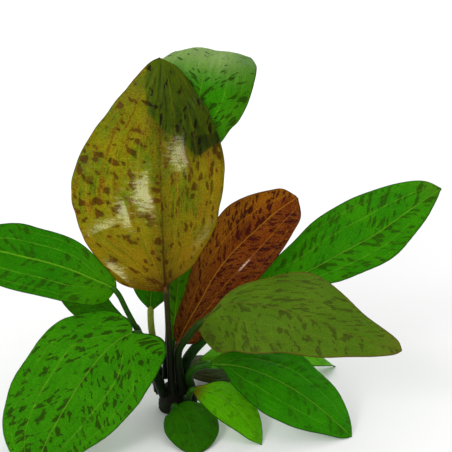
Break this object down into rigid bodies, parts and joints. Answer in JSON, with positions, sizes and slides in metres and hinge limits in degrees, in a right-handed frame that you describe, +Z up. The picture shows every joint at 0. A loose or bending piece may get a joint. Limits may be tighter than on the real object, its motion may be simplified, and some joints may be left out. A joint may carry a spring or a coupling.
{
  "type": "aquarium plant",
  "caption": "Rosette of broad stalked leaves, olive, red and green with dark blotches, on a short rootstock; stands on its flat cut and its low leaf tips.",
  "frame": {"origin": "middle of the flat cut under the rootstock, on the surface that the plant stands on", "axes": "+Z up, -Y towards the side that the plant is looked at from, +X to the right of that view"},
  "size_m": [0.2703, 0.1728, 0.2061],
  "materials": {
    "rootstock": "matt brown root tissue",
    "olive_leaf": "waxy olive leaf with red-brown blotches",
    "olive_green_leaf": "waxy olive-green leaf with grey-brown blotches",
    "red_leaf": "satin red-brown leaf with dark red blotches",
    "green_leaf": "satin green leaf with dark olive blotches",
    "dark_green_leaf": "satin dark green leaf",
    "pale_green_leaf": "satin pale green leaf"
  },
  "bodies": {
    "root": {"rootstock": "rootstock", "leaf_olive_broad": "olive_leaf", "leaf_green_top": "green_leaf", "leaf_green_front_left": "green_leaf", "leaf_green_inner": "green_leaf", "leaf_red": "red_leaf", "leaf_green_right": "green_leaf", "leaf_olive_right": "olive_green_leaf", "leaf_green_left": "green_leaf", "leaf_green_rear_left": "dark_green_leaf", "leaf_green_front_right": "green_leaf", "leaf_pale_front": "pale_green_leaf", "leaf_dark_front": "dark_green_leaf", "leaf_pale_rear_right": "pale_green_leaf", "leaf_green_behind": "green_leaf", "leaf_green_rear": "green_leaf"}
  },
  "joints": []
}
